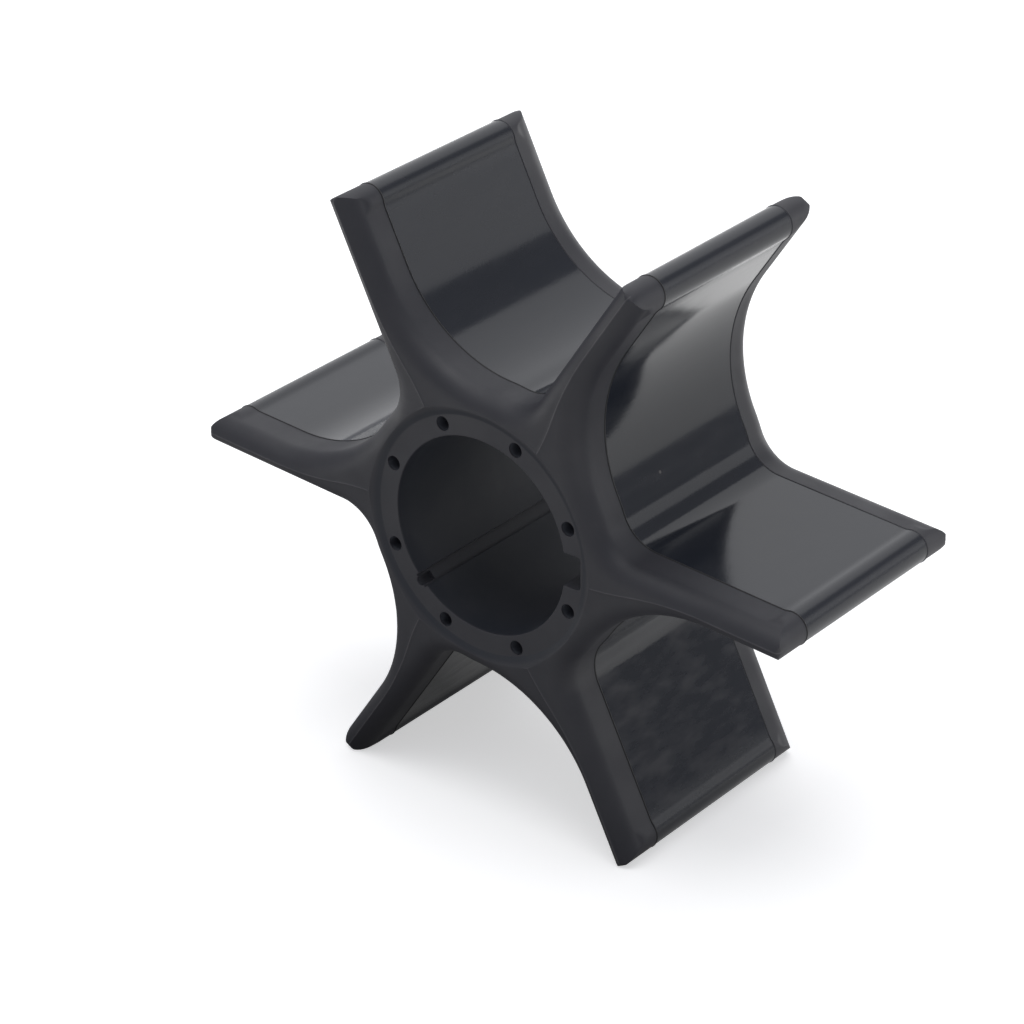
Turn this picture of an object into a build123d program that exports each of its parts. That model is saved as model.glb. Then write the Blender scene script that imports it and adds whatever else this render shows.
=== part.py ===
"""Flexible pump impeller, moulded in one piece of rubber: six leaning vanes round a keyed bore.

Millimetres, +Z up. The bore runs along Y with the origin at its middle. The front face looks
towards -Y, and the impeller stands on its two lower vanes.
"""
import os
from math import cos, radians, sin, sqrt, tan

from build123d import *

# Overall sizes
tip_radius = 40.0
overall_length = 32.4

# Vanes
vane_count = 6
vane_thickness = 3.5
vane_lean = 3.4             # degrees away from the radius, so that the tips trail clockwise
tip_round = 1.95            # radius of the rounded bead along each vane tip
bead_neck = 3.0             # radius of the hollow behind the bead
tip_corner = 0.4            # chamfer on the vane's corners at both ends

# Hub between the vanes
hub_radius = 17.05
leading_root = 5.0          # fillet radius on a vane's counter-clockwise side
trailing_root = 17.5        # fillet radius on its clockwise side

# Rounded ends: the two sides of a vane meet in a crest that runs to the ring
nose_radius = 2.5
nose_turn = 60.0            # degrees of full rounding, before the flatter part below the crest
crest_slope = 4.0           # degrees, rise of the end face towards each crest
crest_width = 5.5           # distance from the flank at which the end face is highest
fade_slope = 4.0            # rise over run where the bead fades out towards the crest

# Bore, its keyway, and the axial groove in its wall that ends in a nick at the front rim
bore_radius = 11.75
key_width = 4.0
key_depth = 2.1
key_corner = 0.4
groove_angle = 225.0        # clockwise from the top
groove_width = 1.7
groove_depth = 0.4
nick_radius = 0.55
nick_length = 2.0

# Recessed ring round the bore at both ends, and the blind pin holes in the front one
ring_radius = 14.25
ring_depth = 0.65
ring_wall_slope = 26.0      # degrees between the ring's face and its sloping wall
pin_count = 8
pin_circle_radius = 13.2
pin_radius = 0.87
pin_depth = 4.0

overshoot = 3.0             # how far cutters reach past what they cut
clearance = 1.0             # how far a cutter's edge stays off the wall it follows
half_length = overall_length / 2
ring_plane = half_length - ring_depth
vane_pitch = 360 / vane_count
tip_centre = tip_radius - tip_round
lean_offset = tip_centre * sin(radians(vane_lean))

# The end's profile, by distance from the flank and height above the middle of the part
slope_cos = cos(radians(crest_slope))
slope_sin = sin(radians(crest_slope))
nose_width = nose_radius * (1 - slope_sin)
nose_top = half_length - (crest_width - nose_width) * tan(radians(crest_slope))
nose_start = nose_top - nose_radius * slope_cos
round_width = nose_radius * (1 - cos(radians(nose_turn)))
round_top = nose_start + nose_radius * sin(radians(nose_turn))
crest_rise = (nose_top - round_top) / (nose_width - round_width)
vane_crest = round_top + (vane_thickness / 2 - round_width) * crest_rise


def beside_vane(along, across, vane_angle=0):
    """Point measured along and across a leaning vane; the vane at angle 0 points to the right."""
    turned = Vector(along, across).rotate(Axis.Z, vane_angle - vane_lean)
    return turned.X, turned.Y


def root_points(side, root_radius, vane_angle):
    """Where the root fillet on one side of a vane leaves the flank and where it meets the hub."""
    flank = lean_offset + side * vane_thickness / 2
    across = flank + side * root_radius
    along = sqrt((hub_radius + root_radius) ** 2 - across ** 2)
    share = hub_radius / (hub_radius + root_radius)
    return beside_vane(along, flank, vane_angle), beside_vane(share * along, share * across, vane_angle)


def gap_wall():
    """Draw the wall of one gap: down a flank, round the hub and up the next vane's flank."""
    reach = tip_radius + overshoot
    first_root, hub_start = root_points(1, leading_root, 0)
    last_root, hub_end = root_points(-1, trailing_root, vane_pitch)
    down = Line(beside_vane(reach, lean_offset + vane_thickness / 2), first_root)
    first_fillet = TangentArc(first_root, hub_start, tangent=down % 1)
    hub = TangentArc(hub_start, hub_end, tangent=first_fillet % 1)
    TangentArc(hub_end, last_root, tangent=hub % 1)
    Line(last_root, beside_vane(reach, lean_offset - vane_thickness / 2, vane_pitch))


# Outline of the gap between two vanes, closed beyond their tips
with BuildSketch() as gap:
    with BuildLine() as gap_edge:
        gap_wall()
        middle = radians(vane_pitch / 2)
        apex = (2 * tip_radius * cos(middle), 2 * tip_radius * sin(middle))
        Polyline(gap_edge.line @ 0, apex, gap_edge.line @ 1)
    make_face()

# Cross-section of the hub and vanes
with BuildSketch() as star:
    Circle(tip_centre)
    with PolarLocations(0, vane_count):
        add(gap.sketch, mode=Mode.SUBTRACT)
    with PolarLocations(tip_centre, vane_count):
        Circle(tip_round)
    beads = [v for v in star.vertices() if tip_centre - tip_round < v.center().length < tip_centre]
    fillet(beads, bead_neck)

# Cutter that follows one gap's wall and rounds both ends of its two vanes and of the hub
with BuildPart() as nose_cutter:
    with BuildLine(Plane.XZ) as wall:
        gap_wall()
    heading = wall.line % 0
    with BuildSketch(Plane(wall.line @ 0, x_dir=heading.cross(Vector(0, 1, 0)), z_dir=heading)):
        with BuildLine():
            below = (-clearance, nose_start - fade_slope * clearance)
            start = (0, nose_start)
            round_end = (round_width, round_top)
            far = (crest_width + overshoot, half_length + overshoot * tan(radians(crest_slope)))
            top = far[1] + overshoot
            Line(below, start)
            TangentArc(start, round_end, tangent=(0, 1))
            Polyline(round_end, (nose_width, nose_top), far, (far[0], top), (below[0], top), below)
        make_face()
    sweep(path=wall.wires()[0])
    mirror(about=Plane.XZ)

with BuildPart() as impeller:
    with BuildSketch(Plane.XZ):
        add(star.sketch)
    extrude(amount=half_length, both=True)

    for vane in range(vane_count):
        add(nose_cutter.part, rotation=(0, vane * vane_pitch, 0), mode=Mode.SUBTRACT)

    # Chamfered corners at the ends of the vane tips
    with BuildSketch(Plane.XY):
        with BuildLine():
            inner = (tip_radius - tip_corner, vane_crest)
            outer = (tip_radius, vane_crest - tip_corner)
            beyond = (tip_radius + overshoot, half_length + overshoot)
            Polyline(inner, outer, (beyond[0], outer[1]), beyond, (inner[0], beyond[1]), close=True)
        make_face()
        mirror(about=Plane.XZ)
    revolve(axis=Axis.Y, mode=Mode.SUBTRACT)

    # Recessed rings
    with BuildSketch(Plane.XY):
        with BuildLine():
            wall_rise = ring_depth + overshoot
            wall_top = (ring_radius + wall_rise / tan(radians(ring_wall_slope)), ring_plane + wall_rise)
            Polyline((0, ring_plane), (ring_radius, ring_plane), wall_top, (0, wall_top[1]), close=True)
        make_face()
        mirror(about=Plane.XZ)
    revolve(axis=Axis.Y, mode=Mode.SUBTRACT)

    # Bore, keyway and groove
    with BuildSketch(Plane.XZ):
        Rectangle(bore_radius + key_depth, key_width, align=(Align.MIN, Align.CENTER))
        fillet(vertices().group_by(Axis.X)[-1], key_corner)
        with PolarLocations(bore_radius, 1, start_angle=90 - groove_angle):
            Rectangle(2 * groove_depth, groove_width)
        Circle(bore_radius)
    extrude(amount=half_length, both=True, mode=Mode.SUBTRACT)
    with BuildSketch(Plane.XZ.offset(ring_plane - nick_length)):
        with PolarLocations(bore_radius + groove_depth, 1, start_angle=90 - groove_angle):
            Circle(nick_radius)
    extrude(amount=nick_length, mode=Mode.SUBTRACT)

    # Pin holes in the front ring
    with BuildSketch(Plane.XZ.offset(ring_plane)):
        with PolarLocations(pin_circle_radius, pin_count, start_angle=180 / pin_count):
            Circle(pin_radius)
    extrude(amount=-pin_depth, mode=Mode.SUBTRACT)

impeller.part.label = "impeller"
os.makedirs("parts", exist_ok=True)
export_step(impeller.part, "parts/impeller.step")
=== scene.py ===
"""Looks of a flexible pump impeller, moulded in one piece of black rubber, laid out as an add-on.

Metres, +Z up. The bore runs along Y with the origin at its middle, and the front face looks
towards -Y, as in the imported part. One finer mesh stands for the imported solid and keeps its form.
"""

from math import asin, cos, pi, radians, sin, sqrt, tan

import bmesh
import bpy
import numpy as np
from bpy.props import FloatProperty, FloatVectorProperty, IntProperty, PointerProperty
from mathutils import Matrix, Vector


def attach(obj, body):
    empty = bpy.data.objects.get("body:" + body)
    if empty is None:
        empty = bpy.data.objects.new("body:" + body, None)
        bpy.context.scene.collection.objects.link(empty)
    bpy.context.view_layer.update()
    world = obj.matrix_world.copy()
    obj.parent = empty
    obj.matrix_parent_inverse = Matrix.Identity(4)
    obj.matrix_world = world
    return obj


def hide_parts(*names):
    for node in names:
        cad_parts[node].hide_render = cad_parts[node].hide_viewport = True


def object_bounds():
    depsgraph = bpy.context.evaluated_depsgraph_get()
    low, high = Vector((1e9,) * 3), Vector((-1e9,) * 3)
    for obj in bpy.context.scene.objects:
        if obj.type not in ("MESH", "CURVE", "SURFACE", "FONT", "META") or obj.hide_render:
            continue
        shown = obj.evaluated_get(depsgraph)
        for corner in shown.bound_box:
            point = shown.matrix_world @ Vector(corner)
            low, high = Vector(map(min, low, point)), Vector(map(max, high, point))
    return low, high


bl_info = {
    "name": "Pump impeller",
    "version": (1, 0, 0),
    "blender": (4, 5, 0),
    "location": "3D View > Sidebar > Impeller",
    "description": "Builds a moulded rubber pump impeller with leaning vanes round a keyed bore",
    "category": "Add Mesh",
}

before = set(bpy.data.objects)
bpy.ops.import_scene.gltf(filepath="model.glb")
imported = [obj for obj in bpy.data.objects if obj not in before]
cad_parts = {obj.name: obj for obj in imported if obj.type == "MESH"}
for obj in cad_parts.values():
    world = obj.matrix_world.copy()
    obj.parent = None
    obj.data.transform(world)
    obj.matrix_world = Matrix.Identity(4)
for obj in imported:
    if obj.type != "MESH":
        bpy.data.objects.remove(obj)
cad_low, cad_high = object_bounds()
MM = 0.001

# Mesh of the impeller
HALVINGS = 50               # steps of each search by halving
ROW_HALVINGS = 40           # the same for the points along a row
CREST_REACH = 4             # half thicknesses of a vane within which its crest is sought
CREST_END_REACH = 4 * MM    # how far outside the hub's wall the crest's end is sought
RING_REACH = 2 * MM         # how far inside the ring's radius a row's end is sought
BEAD_ROWS, NECK_ROWS, FLANK_ROWS, SLOPE_ROWS, ROOT_ROWS = 17, 6, 9, 14, 15
LEADING_ROWS, TRAILING_ROWS, HUB_ROWS = 7, 9, 5
END_POINTS = 16             # points across an end, from the crest or ring to the wall
WALL_SHARES = (0.25, 0.5, 0.75)     # levels between an end and its parting line
WALL_LEVELS = 9             # levels between a parting line and the middle
PIN_SIDES = 32
PIN_LEVELS = (0.0, 0.3, 0.6, 1.0)   # shares of a pin hole's depth
LONG_ARC, SHORT_ARC = 61, 37        # points of the bore on both sides of the groove
KEY_CORNER_POINTS, NICK_POINTS = 6, 11
BORE_LEVELS = 12
RIM_TURNS = (0, 30, 60, 90)         # degrees round the bore's softened rim
SOFT_SHARE = 0.4            # largest share of a row that its soft edge takes
RING_EDGE_SHIFT = 0.1       # how far the ring wall's edges move up or down, over the edge softness
RIM_SPREAD = 1.7            # how far the bore's rim reaches into the ring, over the edge softness
PARTING_PROFILE = ((1, 0), (0.4, 0.8), (0, 1), (-0.4, 0.8), (-1, 0))    # place and rise, in shares
WELD_DISTANCE = 2e-6
SECTOR_WELD_DISTANCE = 1e-6
LAST_WELD_DISTANCE = 1e-7
SMOOTH_ANGLE = radians(27)  # edges turn sharp above it

# Where each mask of the rubber goes from nought to one: radii, distances and heights in metres
GLOSS_INSIDE = (0.05 * MM, 0.15 * MM)       # distance inside the parting lines
OUTSIDE_RING = (14.9 * MM, 15.3 * MM)
BEAD_START = (35.2 * MM, 36.6 * MM)
BELOW_RING = (0.02 * MM, 0.3 * MM)          # depth below the ring's face
INSIDE_RING = (14.1 * MM, 13.9 * MM)
PIN_RADIUS = (12.2 * MM, 12.3 * MM)
OFF_KEYWAY = (2.3 * MM, 2.4 * MM)           # |Z|
OFF_GROOVE = (2.4 * MM, 2.5 * MM)           # |X - Z|
RECESS = (11.77 * MM, 11.8 * MM)
RING_WALL_IN = (14.15 * MM, 14.3 * MM)
RING_WALL_OUT = (15.1 * MM, 14.7 * MM)
ON_PARTING = (0.16 * MM, 0.09 * MM)         # distance from a parting line
FRONT_HALF = (1 * MM, -1 * MM)              # Y
LOW_DOWN = (-4 * MM, -14 * MM)              # Z

# Noises of the rubber: scale and detail
GRAIN = (3500.0, 3.0)
CLOUD = (160.0, 4.0)
SMEAR = (420.0, 5.0)
STREAK = (600.0, 7.0)
STREAK_STRETCH = (1.0, 0.35, 1.0)
SPECK_SCALE = 260.0
SPECK_SIZE = (0.07, 0.03)
SPECK_CHOICE = (0.88, 0.89)                 # only cells past it carry a speck

# Shares with which the layers cover the rubber
NOISE_RANGE = (0.3, 0.7)                    # where a noise goes from nought to one
BORE_NOISE_RANGE = (0.35, 0.65)
FILM_NOISE_RANGE = (0.42, 0.68)
FILM_SHARE = (0.15, 0.6)                    # high up and low down
BLOOM_SHARE = (0.75, 1.0)                   # the least and the most by a noise, as for the next two
CREST_SHARE = (0.2, 1.0)
BORE_SHARE = (0.55, 1.0)
# Painted light: the matt back half is tinted paler to stand for the light falling on the back ends
PAINTED_LIGHT_SHARE = (0.45, 0.0)                    # on the back half and on the front half, as below
PARTING_SHARE = (0.1, 0.8)
# Painted shade: the sloping wall round each ring is tinted towards the bore's darker colour
RING_WALL_SHARE = 0.75
# Painted light: the keyway and groove are tinted paler, lightening the shade in them
RECESS_SHARE = 0.45

# Finish of the rubber
RIPPLE_SHARE = (0.15, 1.0)                  # high up and low down
RIPPLE_STRENGTH, RIPPLE_HEIGHT = 0.45, 0.1 * MM
GRAIN_STRENGTH, GRAIN_HEIGHT = 0.2, 0.015 * MM
END_ROUGHNESS_SPREAD = 0.07
FILM_ROUGHNESS = 0.2                        # added to the flanks under the film
BORE_ROUGHNESS = 0.65
PARTING_ROUGHNESS = 0.6

# Directions in which reflections of the floor are brighter, and where each starts and ends
FLOOR_ZONES = (((0.6, 0.8, 0.0), -0.01, 0.062, "floor_right"),
               ((-0.8, 0.6, 0.0), 0.03, 0.09, "floor_left"),
               ((0.0, -1.0, 0.0), 0.02, 0.06, "floor_front"))
FLOOR_REACH = 3.0

# Soft lights: turn from +Y towards +X and height in degrees, width and height in metres. Each
# is a metre from the impeller and has its brightness in the stage's settings
SOFT_LIGHTS = (("left_light", -30, 33, 1.15, 1.04),
               ("right_light", 50, 20, 0.84, 0.36),
               ("top_light", 0, 89, 0.8, 0.8),
               ("high_light", -125, 50, 0.8, 0.8),
               ("back_light", 20, 4, 0.6, 0.25))
SENSOR_WIDTH = 36.0
CLIP = (0.01, 20.0)


def length(name, description, millimetres):
    """A size property, given in millimetres and held in metres."""
    return FloatProperty(name=name, description=description, default=millimetres * MM, min=0.0,
                         precision=5, unit="LENGTH")


def angle(name, description, degrees):
    """An angle property, given in degrees and held in radians."""
    return FloatProperty(name=name, description=description, default=radians(degrees),
                         subtype="ANGLE")


def colour(name, description, value):
    """A linear RGB colour property."""
    return FloatVectorProperty(name=name, description=description, default=value, size=3, min=0.0,
                               max=1.0, subtype="COLOR")


def share(name, description, value, high=1.0):
    """A plain number between nought and a highest value."""
    return FloatProperty(name=name, description=description, default=value, min=0.0, max=high)


class ImpellerSizes(bpy.types.PropertyGroup):
    """Sizes of the impeller"""

    tip_radius: length("Tip radius", "From the axis to the vane tips", cad_high.x / MM)
    half_length: length("Half length", "From the middle to where the rounded ends would peak", 16.2)
    vane_count: IntProperty(name="Vanes", description="Number of vanes", default=6, min=3, max=12)
    vane_thickness: length("Vane thickness", "Between a vane's flanks", 3.5)
    vane_lean: angle("Vane lean", "Angle between a vane and the radius", 3.4)
    bead_radius: length("Bead radius", "Radius of the rounded bead along a vane's tip", 1.95)
    bead_neck: length("Bead neck", "Radius of the hollow behind the bead", 3.0)
    tip_corner: length("Tip corner", "Rounding of the vane's corners at both ends", 0.68)
    hub_radius: length("Hub radius", "From the axis to the hub's wall between the vanes", 17.05)
    leading_root: length("Leading root", "Fillet on a vane's counter-clockwise side", 5.0)
    trailing_root: length("Trailing root", "Fillet on a vane's clockwise side", 17.5)
    nose_radius: length("Nose radius", "Rounding between the flanks and the ends", 2.5)
    crest_slope: angle("Crest slope", "Rise of the end face towards a crest", 4.0)
    crest_width: length("Crest width", "Distance from the flank at which the end would peak", 5.5)
    fade_slope: share("Fade slope", "Rise over run where the bead fades out", 4.0, 20.0)
    edge_softness: length("Edge softness", "Width of the soft line along edges", 0.12)
    crest_line: length("Crest line", "Height of the fine raised line along each crest", 0.035)
    parting_front: length("Front parting line", "From the middle to the front parting line", 10.6)
    parting_back: length("Back parting line", "From the middle to the back parting line", 11.9)
    parting_width: length("Parting line width", "Width of the raised parting line", 0.22)
    parting_height: length("Parting line height", "Height of the raised parting line", 0.075)
    bore_radius: length("Bore radius", "Radius of the bore", 11.75)
    key_width: length("Keyway width", "Width of the keyway", 4.0)
    key_depth: length("Keyway depth", "Depth of the keyway beyond the bore", 2.1)
    key_corner: length("Keyway corner", "Rounding in the keyway's corners", 0.4)
    groove_angle: angle("Groove place", "From the right, clockwise, to the axial groove", 135.0)
    groove_width: length("Groove width", "Width of the axial groove in the bore", 1.7)
    groove_depth: length("Groove depth", "Depth of the axial groove", 0.4)
    nick_radius: length("Nick radius", "Radius of the nick where the groove meets the front rim",
                        0.55)
    nick_length: length("Nick length", "Length of that nick along the bore", 2.0)
    ring_radius: length("Ring radius", "Radius of the flat recessed ring round the bore", 14.25)
    ring_depth: length("Ring depth", "Depth of the recessed ring below the half length", 0.65)
    ring_slope: angle("Ring wall slope", "Slope of the wall round the ring", 26.0)
    pin_count: IntProperty(name="Pin holes", description="Blind holes in the front ring", default=8,
                           min=1, max=24)
    pin_circle: length("Pin circle radius", "From the axis to the pin holes", 13.2)
    pin_radius: length("Pin hole radius", "Radius of a pin hole", 0.87)
    pin_depth: length("Pin hole depth", "Depth of a pin hole", 4.0)


class ImpellerColours(bpy.types.PropertyGroup):
    """Colours and finish of the impeller and its stage"""

    rubber: colour("Rubber", "Colour of the moulded rubber", (0.0135, 0.016, 0.0225))
    bloom: colour("Bloom", "Colour of the pale bloom on the matt ends", (0.027, 0.027, 0.034))
    parting: colour("Parting lines", "Colour of the dark parting lines", (0.002, 0.002, 0.0025))
    speck: colour("Speck", "Colour of dust specks", (0.16, 0.15, 0.14))
    # Painted light: paler colour on the matt back half and in the keyway and groove
    painted_light: colour("Painted light", "Colour of the paler rubber at the back end and in the recesses",
                 (0.05, 0.049, 0.055))
    # Painted highlight: pale line along the crests
    crest: colour("Crests", "Colour of the fine line along the crests", (0.095, 0.092, 0.1))
    # Painted shade: darker colour inside the bore and on the sloping ring walls
    bore: colour("Bore", "Colour of the dull rubber inside the bore", (0.007, 0.0105, 0.019))
    pin_hole: colour("Pin holes", "Colour of the dust inside the pin holes", (0.07, 0.075, 0.09))
    end_roughness: share("End roughness", "Roughness of the matt ends", 0.55)
    flank_roughness: share("Flank roughness", "Roughness of the glossy flanks", 0.12)
    bead_roughness: share("Bead roughness", "Roughness of the beads along the vane tips", 0.26)
    floor: colour("Floor", "Colour of the floor", (0.86, 0.86, 0.86))
    surround: colour("Surround", "Colour of the soft light all round", (0.9, 0.92, 1.0))


class ImpellerStage(bpy.types.PropertyGroup):
    """Place of the camera and strength of the lights"""

    camera_place: FloatVectorProperty(name="Camera place", description="Where the camera stands",
                                      default=(0.23293, -0.29531, 0.2), size=3, subtype="XYZ",
                                      unit="LENGTH")
    camera_azimuth: angle("Camera azimuth", "Turn of the view about the vertical", 39.227)
    camera_elevation: angle("Camera elevation", "Height of the view above level", 28.421)
    camera_roll: angle("Camera roll", "Turn of the view about its own line", -0.361)
    camera_lens: FloatProperty(name="Camera lens", description="Focal length on a 36 mm sensor",
                               default=134.2, min=1.0, unit="CAMERA")
    surround_strength: share("Surround strength", "Strength of the light all round", 0.37, 5.0)
    left_light: share("Left light", "Brightness of the large light behind on the left", 0.85, 20.0)
    right_light: share("Right light", "Brightness of the low light behind on the right", 0.68, 20.0)
    top_light: share("Top light", "Brightness of the soft light overhead", 2.0, 20.0)
    high_light: share("High light", "Brightness of the high light on the left in front", 0.6, 20.0)
    back_light: share("Back light", "Brightness of the low narrow light behind", 2.6, 20.0)
    floor_glow: share("Floor glow", "Brightness added to the floor so that it shows white",
                      0.5, 5.0)
    floor_right: share("Floor at the right", "Brightness reflected behind on the right", 0.92, 5.0)
    floor_left: share("Floor at the left", "Brightness reflected behind on the left", 1.05, 5.0)
    floor_front: share("Floor in front", "Brightness reflected in front", 0.6, 5.0)
    floor_rest: share("Rest of the floor", "Brightness reflected everywhere", 0.1, 5.0)


class Form:
    """Plain numbers of the impeller's shape, worked out from its sizes.

    A vane is described along and across its own line; the sides of a vane are 1 for the
    counter-clockwise one and -1 for the clockwise one, seen from the front.
    """

    def __init__(self, sizes):
        self.s = s = sizes
        self.pitch = 2 * pi / s.vane_count
        self.half_vane = s.vane_thickness / 2
        self.offset = (s.tip_radius - s.bead_radius) * sin(s.vane_lean)
        self.bead = (s.tip_radius - s.bead_radius) * cos(s.vane_lean)
        self.root = {1: s.leading_root, -1: s.trailing_root}
        self.centre = {side: self.root_centre(side) for side in (1, -1)}
        self.ring_plane = s.half_length - s.ring_depth
        self.nose_width = s.nose_radius * (1 - sin(s.crest_slope))
        self.nose_top = s.half_length - (s.crest_width - self.nose_width) * tan(s.crest_slope)
        self.nose_start = self.nose_top - s.nose_radius * cos(s.crest_slope)
        reach = s.bead_radius + s.bead_neck
        self.neck_across = self.half_vane + s.bead_neck
        self.neck = self.bead - sqrt(reach**2 - self.neck_across**2)
        self.touch = self.bead - (self.bead - self.neck) * s.bead_radius / reach
        self.vane_crest = float(self.plain_height(self.half_vane))

    def root_centre(self, side):
        """Centre of the fillet at the root of a vane's side."""
        across = self.offset + side * (self.half_vane + self.root[side])
        return np.array([sqrt((self.s.hub_radius + self.root[side]) ** 2 - across**2), across])

    def plain_height(self, distance):
        """Height of the rounded end by the distance from the gap's wall."""
        s = self.s
        rounded = s.nose_radius - np.clip(distance, 0, self.nose_width)
        height = self.nose_start + np.sqrt(s.nose_radius**2 - rounded**2)
        height = height + np.maximum(distance - self.nose_width, 0) * tan(s.crest_slope)
        return height + np.minimum(distance, 0) * s.fade_slope

    def ring_wall(self, radius):
        """Height of the sloping wall round the recessed ring."""
        return self.ring_plane + (radius - self.s.ring_radius) * tan(self.s.ring_slope)

    def end_height(self, distance, radius):
        """Height of the end, with the vane's corner and the ring's wall taken off."""
        s = self.s
        past = np.clip(radius - s.tip_radius + s.tip_corner, 0, s.tip_corner)
        corner = self.vane_crest - s.tip_corner + np.sqrt(s.tip_corner**2 - past**2)
        plain = self.plain_height(distance)
        height = np.where(past > 0, np.minimum(plain, corner), plain)
        return np.minimum(height, np.maximum(self.ring_wall(radius), self.ring_plane))

    def distance(self, point, side):
        """Distance of points of a vane from the wall on one of its sides."""
        straight = self.half_vane - side * (point[:, 1] - self.offset)
        curved = np.linalg.norm(point - self.centre[side], axis=1) - self.root[side]
        return np.where(point[:, 0] > self.centre[side][0], straight, curved)

    def crest(self, along):
        """Points as far from one side of the vane as from the other."""
        low = np.full_like(along, self.offset - self.half_vane * CREST_REACH)
        high = np.full_like(along, self.offset + self.half_vane * CREST_REACH)
        for _ in range(HALVINGS):
            middle = (low + high) / 2
            point = np.stack([along, middle], 1)
            nearer = self.distance(point, 1) < self.distance(point, -1)
            low, high = np.where(nearer, low, middle), np.where(nearer, middle, high)
        return np.stack([along, middle], 1)

    def crest_end(self):
        """How far out the crest meets the ring's wall."""
        low, high = self.s.ring_radius, self.s.hub_radius + CREST_END_REACH
        for _ in range(HALVINGS):
            middle = (low + high) / 2
            point = self.crest(np.array([middle]))
            wall = self.ring_wall(np.linalg.norm(point, axis=1))
            below = self.plain_height(self.distance(point, 1)) > wall
            low, high = (middle, high) if below[0] else (low, middle)
        return middle

    def vane_rows(self, along, side):
        """Rows across one side of a vane: start, way in, way out, first and last distance."""
        s = self.s
        crest = self.crest(along)
        last = self.distance(crest, side)
        straight = along > self.centre[side][0]
        away = crest - self.centre[side]
        away /= np.linalg.norm(away, axis=1)[:, None]
        inward = np.where(straight[:, None], [0.0, -side], away)
        flank = np.stack([along, np.full_like(along, self.offset + side * self.half_vane)], 1)
        start = np.where(straight[:, None], flank, self.centre[side] + self.root[side] * away)
        outward = -inward
        in_neck = (along > self.neck) & (along <= self.touch)
        in_bead = along > self.touch
        width = np.full_like(along, self.half_vane)
        past_neck, past_bead = along[in_neck] - self.neck, along[in_bead] - self.bead
        width[in_neck] = self.neck_across - np.sqrt(s.bead_neck**2 - past_neck**2)
        width[in_bead] = np.sqrt(np.maximum(s.bead_radius**2 - past_bead**2, 0))
        start[in_neck | in_bead, 1] = self.offset + side * width[in_neck | in_bead]
        neck_side = side * (self.neck_across - width[in_neck])
        outward[in_neck] = np.stack([-past_neck, neck_side], 1) / s.bead_neck
        outward[in_bead] = np.stack([past_bead, side * width[in_bead]], 1) / s.bead_radius
        return start, inward, outward, self.half_vane - width, last

    def hub_rows(self, crest_end):
        """Rows from the hub's wall to the ring, between the crests on both sides of a gap."""
        ways, starts = [], []
        for side, turn, steps in ((1, 0.0, LEADING_ROWS), (-1, self.pitch, TRAILING_ROWS)):
            centre = self.centre[side]
            first = crest_end - centre
            first_angle = np.arctan2(first[1], first[0])
            last_angle = np.arctan2(-centre[1], -centre[0])
            swing = (last_angle - first_angle + pi) % (2 * pi) - pi
            angles = first_angle + swing * np.linspace(0, 1, steps)[1:]
            way = np.stack([np.cos(angles), np.sin(angles)], 1)
            start = centre + self.root[side] * way
            ways.append(turned(way, turn))
            starts.append(turned(start, turn))
        from_angle = np.arctan2(*starts[0][-1][::-1])
        to_angle = np.arctan2(*starts[1][-1][::-1])
        angles = np.linspace(from_angle, to_angle, HUB_ROWS)[1:-1]
        radial = np.stack([np.cos(angles), np.sin(angles)], 1)
        start = np.concatenate([starts[0], self.s.hub_radius * radial, starts[1][::-1]])
        inward = np.concatenate([ways[0], -radial, ways[1][::-1]])
        low = np.zeros(len(start))
        high = np.full(len(start), self.s.hub_radius - self.s.ring_radius + RING_REACH)
        for _ in range(HALVINGS):
            middle = (low + high) / 2
            radius = np.linalg.norm(start + middle[:, None] * inward, axis=1)
            before = self.plain_height(middle) < self.ring_wall(radius)
            low, high = np.where(before, middle, low), np.where(before, high, middle)
        return start, inward, -inward, np.zeros(len(start)), middle


def turned(points, turn):
    """Points or directions turned counter-clockwise about the axis."""
    c, s = cos(turn), sin(turn)
    return points @ np.array([[c, s], [-s, c]])


def crest_stations(form):
    """Places along a vane at which rows are laid, from its tip to the ring."""
    s = form.s
    last_turn = pi / 2 + asin((form.bead - form.touch) / s.bead_radius)
    bead = form.bead + s.bead_radius * np.cos(np.linspace(0, last_turn, BEAD_ROWS))
    neck = np.linspace(form.touch, form.neck, NECK_ROWS)[1:]
    flank = np.linspace(form.neck, form.centre[-1][0], FLANK_ROWS)[1:]
    slope = np.linspace(form.centre[-1][0], form.centre[1][0], SLOPE_ROWS)[1:]
    root = np.linspace(form.centre[1][0], form.crest_end(), ROOT_ROWS)[1:]
    return np.concatenate([bead, neck, flank, slope, root])


def end_points(form, rows, count):
    """Points of an end on each row, from its inner side out to the wall's upper edge."""
    start, inward, outward, first, last = rows
    nose = form.s.nose_radius

    def stretch(distance):
        """Length along the end's profile over the nose's radius, so that points lie evenly."""
        rounded = np.arccos(1 - np.clip(distance, 0, form.nose_width) / nose)
        beyond = np.maximum(distance - form.nose_width, 0) / nose
        return rounded + beyond + np.minimum(distance, 0) * form.s.fade_slope / nose

    soft = np.minimum(form.s.edge_softness, (last - first) * SOFT_SHARE)
    places = [last]
    for part in np.linspace(1, 0, count - 1):
        low, high = first.copy(), last - soft
        goal = stretch(first) + part * (stretch(high) - stretch(first))
        for _ in range(ROW_HALVINGS):
            middle = (low + high) / 2
            under = stretch(middle) < goal
            low, high = np.where(under, middle, low), np.where(under, high, middle)
        places.append(middle)
    places = np.stack(places, 1)
    flat = start[:, None] + (places - first[:, None])[:, :, None] * inward[:, None]
    height = form.end_height(places, np.linalg.norm(flat, axis=2))
    return flat, height


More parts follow.
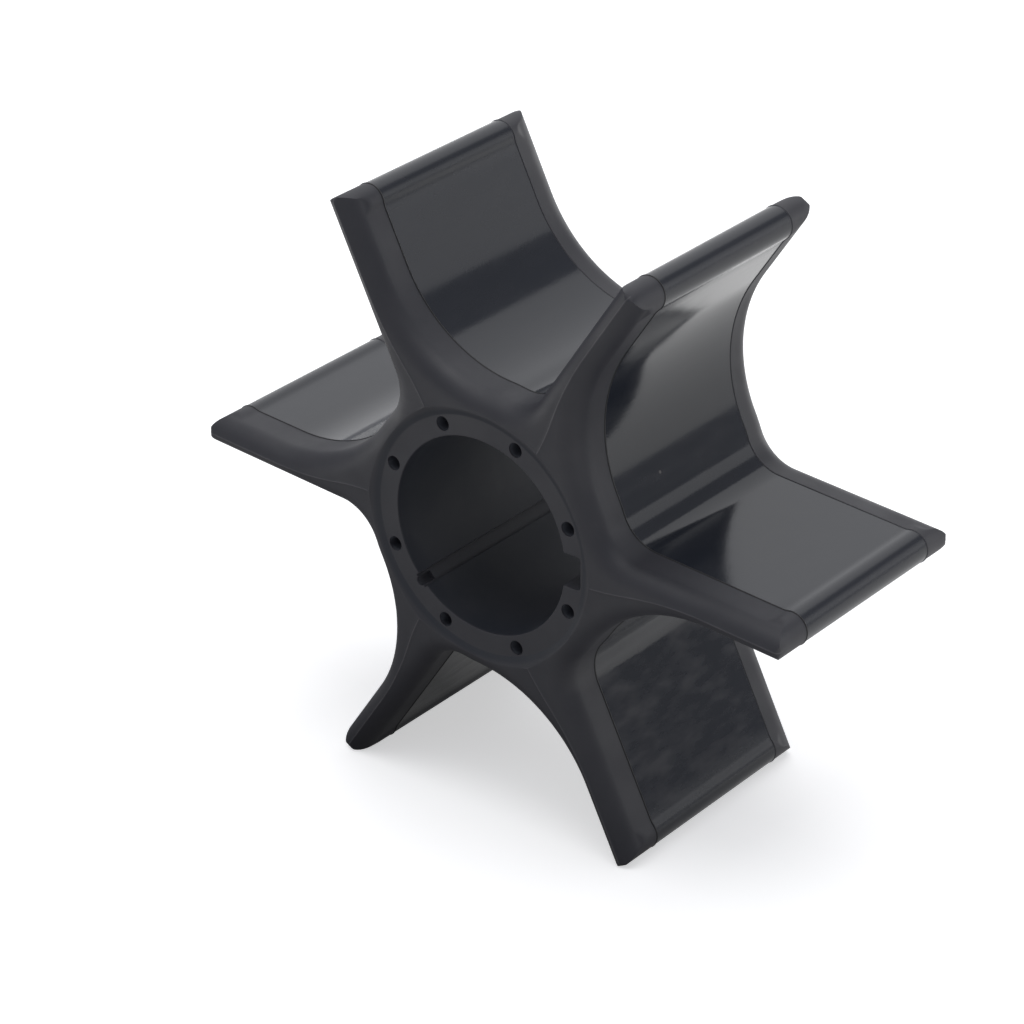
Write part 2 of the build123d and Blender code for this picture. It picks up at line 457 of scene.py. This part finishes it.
def wall_levels(form, upper, parting):
    """Heights down a wall from its upper edge to the middle, and how far each stands out."""
    s = form.s
    foot = s.parting_width / 2
    heights, out = [], []
    for part in WALL_SHARES:
        heights.append(upper + part * (parting + foot - upper))
        out.append(0.0)
    for step, rise in PARTING_PROFILE:
        heights.append(np.full_like(upper, parting + step * foot))
        out.append(rise * s.parting_height)
    for part in np.linspace(0, 1, WALL_LEVELS)[1:]:
        heights.append(np.full_like(upper, (parting - foot) * (1 - part)))
        out.append(0.0)
    return np.stack(heights, 1), np.array(out)


def grid(points, faces, columns, flip):
    """Add a grid of points and its faces."""
    rows, count = columns.shape[:2]
    base = sum(len(p) for p in points)
    points.append(columns.reshape(-1, 3))
    for i in range(rows - 1):
        for j in range(count - 1):
            a = base + i * count + j
            face = (a, a + 1, a + count + 1, a + count)
            faces.append(face[::-1] if flip else face)


def sector_mesh(form):
    """One gap between two vanes: both half vanes, the hub's wall and both ends."""
    s = form.s
    along = crest_stations(form)
    leading = form.vane_rows(along, 1)
    trailing = form.vane_rows(along, -1)
    trailing = [turned(v, form.pitch)[::-1] if v.ndim == 2 else v[::-1] for v in trailing]
    hub = form.hub_rows(form.crest(along[-1:])[0])
    rows = [np.concatenate(parts) for parts in zip(leading, hub, trailing)]
    flat, height = end_points(form, rows, END_POINTS)
    on_crest = np.ones(len(flat), bool)
    on_crest[len(along):len(along) + len(hub[0])] = False
    height[:, 0] += np.where(on_crest, s.crest_line, -RING_EDGE_SHIFT * s.edge_softness)
    plans, rises = {}, {}
    for end, parting in ((-1, s.parting_front), (1, s.parting_back)):
        wall_height, wall_out = wall_levels(form, height[:, -1], parting)
        wall_flat = rows[0][:, None] + wall_out[None, :, None] * rows[2][:, None]
        plans[end] = np.concatenate([flat, wall_flat], 1)
        rises[end] = np.concatenate([height, wall_height], 1)

    # Sloping wall of the ring, in rows that run straight towards the axis
    hub_part = slice(len(along) - 1, len(along) + len(hub[0]) + 1)
    edge = flat[hub_part, 0]
    edge_radius = np.linalg.norm(edge, axis=1)
    soft = s.edge_softness
    radii = [edge_radius, edge_radius - soft]
    radii += [np.full_like(edge_radius, s.ring_radius + out) for out in (soft, 0.0, -soft)]
    ring_flat = np.stack([edge * (r / edge_radius)[:, None] for r in radii], 1)
    ring_height = np.stack([height[hub_part, 0], form.ring_wall(radii[1]), form.ring_wall(radii[2]),
                            np.full_like(edge_radius, form.ring_plane + RING_EDGE_SHIFT * soft),
                            np.full_like(edge_radius, form.ring_plane)], 1)
    points, faces, painted_light = [], [], []
    for end in (-1, 1):
        parts = ((plans[end], rises[end], False), (ring_flat, ring_height, True))
        for plan, rise, on_ring in parts:
            plan = turned(plan.reshape(-1, 2), -s.vane_lean).reshape(plan.shape)
            columns = np.stack([plan[..., 0], end * rise, plan[..., 1]], -1)
            grid(points, faces, columns, flip=(end > 0) != on_ring)
            # Painted highlight: the crest points are marked for the pale line along the crests
            crest_highlight = np.zeros(plan.shape[:2])
            if not on_ring:
                crest_highlight[on_crest, 0] = 1.0
            painted_light.append(crest_highlight.ravel())
    return mesh_of("impeller_sector", np.concatenate(points), faces, np.concatenate(painted_light))


def pin_mesh(form):
    """One blind pin hole, opening in the front ring."""
    s = form.s
    turns = np.linspace(0, 2 * pi, PIN_SIDES + 1)[:-1]
    profile = [(s.pin_radius, s.pin_depth * part) for part in PIN_LEVELS]
    start = pi / s.pin_count
    centre = s.pin_circle * np.array([cos(start), sin(start)])
    points, faces = [], []
    for radius, depth in profile:
        y = depth - form.ring_plane
        points += [(centre[0] + radius * cos(t), y, centre[1] + radius * sin(t)) for t in turns]
    count = len(turns)
    for level in range(len(profile) - 1):
        for i in range(count):
            a, b = level * count + i, level * count + (i + 1) % count
            faces.append((a, b, b + count, a + count))
    faces.append(tuple(range((len(profile) - 1) * count, len(profile) * count)))
    return mesh_of("impeller_pin", np.array(points), faces, np.zeros(len(points)))


def mesh_of(name, points, faces, painted_light):
    """A mesh with its doubled points merged, and the share of painted light at its points as an
    attribute.
    """
    mesh = bpy.data.meshes.new(name)
    mesh.from_pydata([tuple(p) for p in points], [], faces)
    mesh.attributes.new("painted_light", "FLOAT", "POINT").data.foreach_set("value", painted_light)
    work = bmesh.new()
    work.from_mesh(mesh)
    bmesh.ops.remove_doubles(work, verts=work.verts, dist=SECTOR_WELD_DISTANCE)
    work.to_mesh(mesh)
    work.free()
    return mesh


def bore_outline(form, with_nick):
    """Bore with its keyway and groove, counter-clockwise as seen from the front."""
    s = form.s

    def arc(start, end, count):
        """Points of the bore's circle from one angle to another."""
        return [(s.bore_radius * cos(t), s.bore_radius * sin(t))
                for t in np.linspace(start, end, count)]

    points = []
    key_half = s.key_width / 2
    bottom = s.bore_radius + s.key_depth
    for side in (-1, 1):
        fillet = [(bottom - s.key_corner * (1 - sin(t)), key_half - s.key_corner * (1 - cos(t)))
                  for t in np.radians(np.linspace(0, 90, KEY_CORNER_POINTS))]
        steps = [(sqrt(s.bore_radius**2 - key_half**2), key_half)] + fillet
        steps = steps if side < 0 else steps[::-1]
        points += [(x, side * y) for x, y in steps]
    mouth = asin(key_half / s.bore_radius)
    groove = 2 * pi - s.groove_angle
    groove_half = asin(s.groove_width / 2 / s.bore_radius)
    points += arc(mouth, groove - groove_half, LONG_ARC)[1:]
    floor = s.bore_radius + s.groove_depth
    local = [(floor, -s.groove_width / 2)]
    for t in np.radians(np.linspace(0, 180, NICK_POINTS)):
        deeper = s.nick_radius * sin(t) if with_nick else 0
        local.append((floor + deeper, -s.nick_radius * cos(t)))
    local.append((floor, s.groove_width / 2))
    points += [(x * cos(groove) - y * sin(groove), x * sin(groove) + y * cos(groove))
               for x, y in local]
    points += arc(groove + groove_half, 2 * pi - mouth, SHORT_ARC)[:-1]
    return np.array(points)


def widened(outline, amount):
    """A counter-clockwise outline moved out from the hole by an amount."""
    edge = np.roll(outline, -1, 0) - outline
    normal = np.stack([edge[:, 1], -edge[:, 0]], 1) / np.linalg.norm(edge, axis=1)[:, None]
    before = np.roll(normal, 1, 0)
    share_of = 1 + (normal * before).sum(1)
    return outline + amount * (normal + before) / share_of[:, None]


def add_bore(form, work):
    """Add the bore's wall with softened rims to a mesh under construction."""
    s = form.s
    soft = s.edge_softness
    nicked, plain = bore_outline(form, True), bore_outline(form, False)
    rim = [(soft * (1 - sin(t)), soft * (1 - cos(t))) for t in np.radians(RIM_TURNS)]
    nick_end = s.nick_length - form.ring_plane
    levels = [(widened(nicked, RIM_SPREAD * soft), -form.ring_plane)]
    levels += [(widened(nicked, out), depth - form.ring_plane) for out, depth in rim]
    levels += [(nicked, nick_end), (plain, nick_end)]
    down = np.linspace(nick_end, form.ring_plane - soft, BORE_LEVELS)[1:-1]
    levels += [(plain, y) for y in down]
    levels += [(widened(plain, out), form.ring_plane - depth) for out, depth in rim[::-1]]
    levels += [(widened(plain, RIM_SPREAD * soft), form.ring_plane)]
    loops = [[work.verts.new((x, y, z)) for x, z in outline] for outline, y in levels]
    for one, two in zip(loops, loops[1:]):
        for i in range(len(one)):
            j = (i + 1) % len(one)
            work.faces.new((one[i], two[i], two[j], one[j]))


def repeat_tree():
    """Geometry nodes that repeat the gap and the pin holes round the axis and weld them."""
    tree = bpy.data.node_groups.new("Repeat round the bore", "GeometryNodeTree")
    face = tree.interface
    face.new_socket("Geometry", in_out="INPUT", socket_type="NodeSocketGeometry")
    face.new_socket("Gaps", in_out="INPUT", socket_type="NodeSocketInt")
    face.new_socket("Pin hole", in_out="INPUT", socket_type="NodeSocketObject")
    face.new_socket("Pin holes", in_out="INPUT", socket_type="NodeSocketInt")
    face.new_socket("Weld distance", in_out="INPUT", socket_type="NodeSocketFloat")
    face.new_socket("Material", in_out="INPUT", socket_type="NodeSocketMaterial")
    face.new_socket("Geometry", in_out="OUTPUT", socket_type="NodeSocketGeometry")
    given = tree.nodes.new("NodeGroupInput")
    pin = add_node(tree, "GeometryNodeObjectInfo", {"Object": given.outputs["Pin hole"]})
    joined = tree.nodes.new("GeometryNodeJoinGeometry")
    for source, how_many in ((given, "Gaps"), (pin, "Pin holes")):
        places = add_node(tree, "GeometryNodePoints", {"Count": given.outputs[how_many]})
        step = maths(tree, "DIVIDE", 2 * pi, given.outputs[how_many])
        index = tree.nodes.new("GeometryNodeInputIndex")
        turn = maths(tree, "MULTIPLY", index.outputs[0], step)
        spin = add_node(tree, "ShaderNodeCombineXYZ", {"Y": turn})
        copies = add_node(tree, "GeometryNodeInstanceOnPoints",
                          {"Points": places.outputs[0], "Instance": source.outputs["Geometry"],
                           "Rotation": spin.outputs[0]})
        tree.links.new(copies.outputs[0], joined.inputs[0])
    real = add_node(tree, "GeometryNodeRealizeInstances", {"Geometry": joined.outputs[0]})
    welded = add_node(tree, "GeometryNodeMergeByDistance",
                      {"Geometry": real.outputs[0], "Distance": given.outputs["Weld distance"]})
    done = add_node(tree, "GeometryNodeSetMaterial",
                    {"Geometry": welded.outputs[0], "Material": given.outputs["Material"]})
    result = tree.nodes.new("NodeGroupOutput")
    tree.links.new(done.outputs[0], result.inputs[0])
    return tree


def repeated(form, material):
    """Mesh of all gaps and pin holes, open towards the bore."""
    gap = add_object("impeller_sector", sector_mesh(form))
    pin = add_object("impeller_pin", pin_mesh(form))
    tree = repeat_tree()
    modifier = gap.modifiers.new("Repeat", "NODES")
    modifier.node_group = tree
    values = {"Gaps": form.s.vane_count, "Pin hole": pin, "Pin holes": form.s.pin_count,
              "Weld distance": WELD_DISTANCE, "Material": material}
    for item in tree.interface.items_tree:
        if item.in_out == "INPUT" and item.name in values:
            modifier[item.identifier] = values[item.name]
    view = bpy.context.evaluated_depsgraph_get()
    mesh = bpy.data.meshes.new_from_object(gap.evaluated_get(view))
    gap.modifiers.remove(modifier)
    for made in (gap, pin):
        old = made.data
        bpy.data.objects.remove(made)
        bpy.data.meshes.remove(old)
    return mesh


def impeller_mesh(form, material):
    """The whole impeller as one closed mesh."""
    mesh = repeated(form, material)
    mesh.name = "impeller_rubber"
    work = bmesh.new()
    work.from_mesh(mesh)
    add_bore(form, work)
    for end in (-1, 1):
        rim = [e for e in work.edges if e.is_boundary and e.verts[0].co.y * end > 0]
        bmesh.ops.triangle_fill(work, use_beauty=True, edges=rim, normal=(0, end, 0))
    bmesh.ops.remove_doubles(work, verts=work.verts, dist=LAST_WELD_DISTANCE)
    open_edges = [e for e in work.edges if not e.is_manifold]
    if open_edges:
        raise RuntimeError(f"{len(open_edges)} edges of the impeller are open or doubled")
    bmesh.ops.recalc_face_normals(work, faces=work.faces)
    for made in work.faces:
        made.smooth = True
        made.material_index = 0
    for edge in work.edges:
        edge.smooth = edge.calc_face_angle(0) < SMOOTH_ANGLE
    work.to_mesh(mesh)
    work.free()
    mesh.materials.clear()
    mesh.materials.append(material)
    return mesh


def add_node(tree, kind, inputs=None, **settings):
    """A new node with its settings, and its sockets given a value or linked."""
    made = tree.nodes.new(kind)
    for name, value in settings.items():
        setattr(made, name, value)
    for socket, value in (inputs or {}).items():
        if isinstance(value, bpy.types.NodeSocket):
            tree.links.new(value, made.inputs[socket])
        else:
            made.inputs[socket].default_value = value
    return made


def maths(tree, operation, *values):
    """Result of a new maths node on numbers or sockets."""
    return add_node(tree, "ShaderNodeMath", dict(enumerate(values)), operation=operation).outputs[0]


def colour_mix(tree, factor, low, high):
    """Result of a new node that mixes two colours, each given as a socket or as a colour."""
    low, high = (end if isinstance(end, bpy.types.NodeSocket) else (*end, 1.0)
                 for end in (low, high))
    mixed = add_node(tree, "ShaderNodeMix", {"Factor": factor, 6: low, 7: high}, data_type="RGBA")
    return mixed.outputs[2]


def rubber_material(form, colours):
    """Black rubber, matt at the ends and glossy on the flanks between the parting lines."""
    s = form.s
    material = bpy.data.materials.new("moulded_rubber")
    material.use_nodes = True
    tree = material.node_tree
    shader = tree.nodes["Principled BSDF"]
    place = tree.nodes.new("ShaderNodeTexCoord").outputs["Object"]

    def ramp(value, low, high):
        """Nought at the low value, one at the high one and even between them."""
        inputs = {"Value": value, "From Min": low, "From Max": high}
        return add_node(tree, "ShaderNodeMapRange", inputs).outputs[0]

    def mix(mask, low, high):
        """A number that goes from low to high with a mask."""
        inputs = {"Value": mask, "To Min": low, "To Max": high}
        return add_node(tree, "ShaderNodeMapRange", inputs).outputs[0]

    def blend(mask, low, high):
        """A mix of two numbers, either of which may be a socket."""
        mixed = add_node(tree, "ShaderNodeMix", {"Factor": mask, "A": low, "B": high})
        return mixed.outputs["Result"]

    def times(one, other):
        """Product of two numbers or sockets."""
        return maths(tree, "MULTIPLY", one, other)

    def distance(one, other):
        """How far one number lies from another."""
        return maths(tree, "ABSOLUTE", maths(tree, "SUBTRACT", one, other))

    def noise(scale, detail, vector=place):
        """Noise of a scale and a detail."""
        inputs = {"Vector": vector, "Scale": scale, "Detail": detail}
        return add_node(tree, "ShaderNodeTexNoise", inputs).outputs["Fac"]

    # Where a point lies
    x, y, z = add_node(tree, "ShaderNodeSeparateXYZ", {0: place}).outputs
    flat = add_node(tree, "ShaderNodeCombineXYZ", {"X": x, "Z": z})
    from_axis = add_node(tree, "ShaderNodeVectorMath", {0: flat.outputs[0]}, operation="LENGTH")
    radius = from_axis.outputs["Value"]
    height = maths(tree, "ABSOLUTE", y)
    middle = (s.parting_back - s.parting_front) / 2
    half = (s.parting_back + s.parting_front) / 2
    from_middle = distance(y, middle)
    near, far = GLOSS_INSIDE
    outside = ramp(radius, *OUTSIDE_RING)
    gloss = times(ramp(from_middle, half - near, half - far), outside)
    bead = ramp(radius, *BEAD_START)
    shallow, deep = BELOW_RING
    sunk = ramp(height, form.ring_plane - shallow, form.ring_plane - deep)
    in_bore = times(ramp(radius, *INSIDE_RING), sunk)
    in_pin = times(in_bore, ramp(radius, *PIN_RADIUS))
    in_pin = times(in_pin, ramp(maths(tree, "ABSOLUTE", z), *OFF_KEYWAY))
    in_pin = times(in_pin, ramp(distance(x, z), *OFF_GROOVE))
    # Keyway and groove, which carry painted light
    in_recess = times(in_bore, ramp(radius, *RECESS))
    # Sloping wall round each ring, which carries painted shade
    ring_wall = times(ramp(radius, *RING_WALL_IN), ramp(radius, *RING_WALL_OUT))
    # Crest points, which carry the painted highlight line
    crest = add_node(tree, "ShaderNodeAttribute", attribute_name="painted_light").outputs["Fac"]
    parting = times(ramp(distance(from_middle, half), *ON_PARTING), outside)
    in_front = ramp(y, *FRONT_HALF)
    low_down = ramp(z, *LOW_DOWN)

    # Noises, the thin film of smears on the lower flanks, and the specks
    grain, cloud, smear = noise(*GRAIN), noise(*CLOUD), noise(*SMEAR)
    along = add_node(tree, "ShaderNodeVectorMath", {0: place, 1: STREAK_STRETCH},
                     operation="MULTIPLY")
    streak = noise(*STREAK, along.outputs[0])
    film = times(times(ramp(streak, *FILM_NOISE_RANGE), mix(low_down, *FILM_SHARE)), gloss)
    cells = add_node(tree, "ShaderNodeTexVoronoi", {"Vector": place, "Scale": SPECK_SCALE})
    chosen = add_node(tree, "ShaderNodeSeparateColor", {0: cells.outputs["Color"]}).outputs[0]
    speck = times(ramp(cells.outputs["Distance"], *SPECK_SIZE), ramp(chosen, *SPECK_CHOICE))

    end_rough = mix(ramp(cloud, *NOISE_RANGE), colours.end_roughness - END_ROUGHNESS_SPREAD,
                    colours.end_roughness + END_ROUGHNESS_SPREAD)
    flank_rough = mix(film, colours.flank_roughness, colours.flank_roughness + FILM_ROUGHNESS)
    roughness = blend(gloss, end_rough, blend(bead, flank_rough, colours.bead_roughness))
    roughness = blend(in_bore, roughness, BORE_ROUGHNESS)
    roughness = blend(parting, roughness, PARTING_ROUGHNESS)
    tree.links.new(roughness, shader.inputs["Roughness"])

    # Each layer covers those before it by its mask
    matt = mix(gloss, 1.0, 0.0)
    dusty = times(matt, mix(ramp(smear, *NOISE_RANGE), *BLOOM_SHARE))
    layers = ((maths(tree, "MAXIMUM", dusty, film), colours.bloom),
              # Painted light: the matt back half is tinted paler
              (times(matt, mix(in_front, *PAINTED_LIGHT_SHARE)), colours.painted_light),
              # Painted shade on the sloping wall round each ring
              (times(ring_wall, RING_WALL_SHARE), colours.bore),
              # Painted highlight: pale line along the crests
              (times(crest, mix(smear, *CREST_SHARE)), colours.crest),
              # Painted shade inside the bore
              (times(in_bore, mix(ramp(cloud, *BORE_NOISE_RANGE), *BORE_SHARE)), colours.bore),
              # Painted light in the keyway and groove
              (times(in_recess, RECESS_SHARE), colours.painted_light),
              (in_pin, colours.pin_hole),
              (times(parting, mix(in_front, *PARTING_SHARE)), colours.parting),
              (times(speck, gloss), colours.speck))
    tint = colours.rubber
    for mask, covering in layers:
        tint = colour_mix(tree, mask, tint, covering)
    tree.links.new(tint, shader.inputs["Base Color"])

    wave = times(times(streak, mix(low_down, *RIPPLE_SHARE)), gloss)
    ripple = add_node(tree, "ShaderNodeBump", {"Height": wave, "Strength": RIPPLE_STRENGTH,
                                               "Distance": RIPPLE_HEIGHT})
    bump = add_node(tree, "ShaderNodeBump", {"Height": grain, "Strength": GRAIN_STRENGTH,
                                             "Distance": GRAIN_HEIGHT,
                                             "Normal": ripple.outputs[0]})
    tree.links.new(bump.outputs[0], shader.inputs["Normal"])
    return material


def floor_material(colours, stage):
    """White floor that keeps the shadow; reflections of it are brighter in some directions."""
    material = bpy.data.materials.new("floor")
    material.use_nodes = True
    tree = material.node_tree
    shader = tree.nodes["Principled BSDF"]
    place = tree.nodes.new("ShaderNodeTexCoord").outputs["Object"]
    reflected = stage.floor_rest
    for direction, start, end, setting in FLOOR_ZONES:
        towards = add_node(tree, "ShaderNodeVectorMath", {0: place, 1: direction},
                           operation="DOT_PRODUCT").outputs["Value"]
        zone = add_node(tree, "ShaderNodeMapRange",
                        {"Value": towards, "From Min": start, "From Max": end,
                         "To Max": getattr(stage, setting)})
        reflected = maths(tree, "ADD", zone.outputs[0], reflected)
    seen = tree.nodes.new("ShaderNodeLightPath").outputs["Is Camera Ray"]
    tint = colour_mix(tree, seen, (0.0, 0.0, 0.0), colours.floor)
    tree.links.new(tint, shader.inputs["Base Color"])
    glow = add_node(tree, "ShaderNodeMix", {"Factor": seen, "A": reflected, "B": stage.floor_glow})
    shader.inputs["Emission Color"].default_value = (1.0, 1.0, 1.0, 1.0)
    tree.links.new(glow.outputs["Result"], shader.inputs["Emission Strength"])
    shader.inputs["Roughness"].default_value = 1.0
    shader.inputs["Specular IOR Level"].default_value = 0.0
    return material


def add_object(name, data):
    """A new object in the scene."""
    made = bpy.data.objects.new(name, data)
    bpy.context.scene.collection.objects.link(made)
    return made


def add_floor(colours, stage):
    """Floor under the impeller."""
    mesh = bpy.data.meshes.new("floor")
    corners = [(x * FLOOR_REACH, y * FLOOR_REACH, cad_low.z)
               for x, y in ((-1, -1), (1, -1), (1, 1), (-1, 1))]
    mesh.from_pydata(corners, [], [(0, 1, 2, 3)])
    mesh.materials.append(floor_material(colours, stage))
    floor = add_object("floor", mesh)


def add_surround(colours, stage):
    """Soft light all round, which the camera sees as white."""
    world = bpy.data.worlds.new("surround")
    world.use_nodes = True
    tree = world.node_tree
    tree.nodes.clear()
    seen = tree.nodes.new("ShaderNodeLightPath").outputs["Is Camera Ray"]
    strength = add_node(tree, "ShaderNodeMix",
                        {"Factor": seen, "A": stage.surround_strength, "B": 1.0})
    light = add_node(tree, "ShaderNodeBackground",
                     {"Color": (*colours.surround, 1.0), "Strength": strength.outputs["Result"]})
    add_node(tree, "ShaderNodeOutputWorld", {"Surface": light.outputs[0]})
    bpy.context.scene.world = world


def add_lights(stage):
    """Soft lights a metre from the impeller that face it."""
    for name, azimuth, elevation, width, height in SOFT_LIGHTS:
        lamp = bpy.data.lights.new(name, "AREA")
        lamp.shape = "RECTANGLE"
        lamp.size, lamp.size_y = width, height
        lamp.energy = getattr(stage, name) * pi * width * height
        holder = add_object(name, lamp)
        turn, rise = radians(azimuth), radians(elevation)
        holder.location = (sin(turn) * cos(rise), cos(turn) * cos(rise), sin(rise))
        holder.rotation_euler = holder.location.to_track_quat("Z", "Y").to_euler()


def add_camera(stage):
    """Camera at the photo's viewing angle."""
    camera = add_object("camera", bpy.data.cameras.new("camera"))
    camera.data.lens = stage.camera_lens
    camera.data.sensor_width = SENSOR_WIDTH
    camera.data.clip_start, camera.data.clip_end = CLIP
    azimuth, elevation = stage.camera_azimuth, stage.camera_elevation
    back = Vector((sin(azimuth) * cos(elevation), -cos(azimuth) * cos(elevation), sin(elevation)))
    level = (-back).cross(Vector((0, 0, 1))).normalized()
    right = cos(stage.camera_roll) * level + sin(stage.camera_roll) * level.cross(-back)
    turn = Matrix((right, back.cross(right), back)).transposed().to_4x4()
    camera.matrix_world = Matrix.Translation(stage.camera_place) @ turn
    bpy.context.scene.camera = camera


class IMPELLER_OT_rubber(bpy.types.Operator):
    """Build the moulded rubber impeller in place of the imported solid"""

    bl_idname = "impeller.rubber"
    bl_label = "Moulded rubber"

    def execute(self, context):
        form = Form(context.scene.impeller_sizes)
        material = rubber_material(form, context.scene.impeller_colours)
        piece = add_object("impeller_rubber", impeller_mesh(form, material))
        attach(piece, "root")
        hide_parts("impeller")
        return {"FINISHED"}


class IMPELLER_OT_stage(bpy.types.Operator):
    """Set out the floor, the lights and the camera"""

    bl_idname = "impeller.stage"
    bl_label = "Stage"

    def execute(self, context):
        colours, stage = context.scene.impeller_colours, context.scene.impeller_stage
        add_floor(colours, stage)
        add_surround(colours, stage)
        add_lights(stage)
        add_camera(stage)
        context.scene.view_settings.view_transform = "Standard"
        return {"FINISHED"}


class IMPELLER_PT_panel(bpy.types.Panel):
    """Lists what the add-on builds"""

    bl_idname = "IMPELLER_PT_panel"
    bl_label = "Pump impeller"
    bl_space_type = "VIEW_3D"
    bl_region_type = "UI"
    bl_category = "Impeller"

    def draw(self, context):
        self.layout.operator("impeller.rubber")
        self.layout.operator("impeller.stage")


GROUPS = {"impeller_sizes": ImpellerSizes, "impeller_colours": ImpellerColours,
          "impeller_stage": ImpellerStage}
CLASSES = (*GROUPS.values(), IMPELLER_OT_rubber, IMPELLER_OT_stage, IMPELLER_PT_panel)


def register():
    """Register the add-on's classes and give the scene their settings."""
    for kind in CLASSES:
        bpy.utils.register_class(kind)
    for name, kind in GROUPS.items():
        setattr(bpy.types.Scene, name, PointerProperty(type=kind))


def unregister():
    """Take the settings and the classes away again."""
    for name in GROUPS:
        delattr(bpy.types.Scene, name)
    for kind in reversed(CLASSES):
        bpy.utils.unregister_class(kind)


def main():
    """Build the impeller and its stage."""
    register()
    bpy.ops.impeller.rubber()
    bpy.ops.impeller.stage()


if __name__ == "__main__":
    main()
